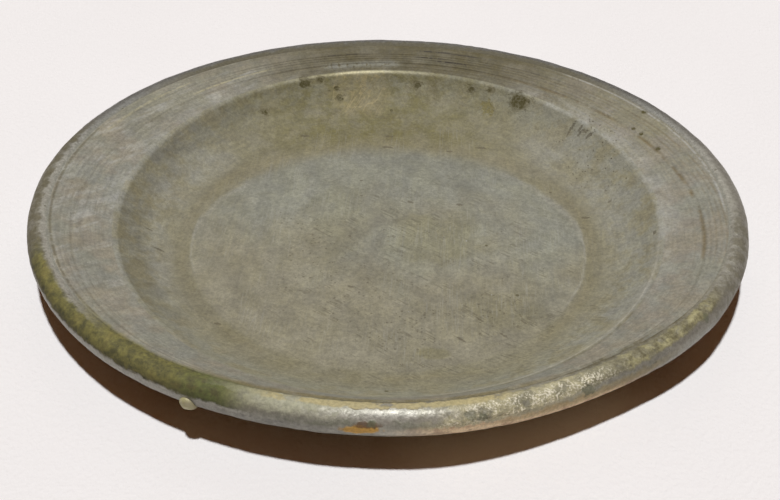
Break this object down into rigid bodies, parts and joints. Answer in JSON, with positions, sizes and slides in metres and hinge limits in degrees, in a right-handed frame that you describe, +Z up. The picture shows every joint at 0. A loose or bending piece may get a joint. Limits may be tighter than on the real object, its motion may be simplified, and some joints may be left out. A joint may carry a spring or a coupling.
{
  "type": "oval dish",
  "caption": "Shallow oval copper dish with a flat base, curved well, sloping lip and an edge rolled round a wire; the upper face is tinned. It stands on a table and holds food.",
  "frame": {"origin": "middle of the oval outline, on the plane that the base stands on", "axes": "+X along the oval's length, +Y from the front to the back, +Z up"},
  "size_m": [0.24, 0.204, 0.0183],
  "materials": {
    "copper": "aged copper, brown and green patina over remains of tin",
    "iron_wire": "bare drawn iron wire",
    "tin": "dull wiped tin, scratched and stained"
  },
  "bodies": {
    "root": {"copper_body": "copper", "rim_wire": "iron_wire", "tin_lining": "tin", "tin_run": "tin"}
  },
  "joints": []
}
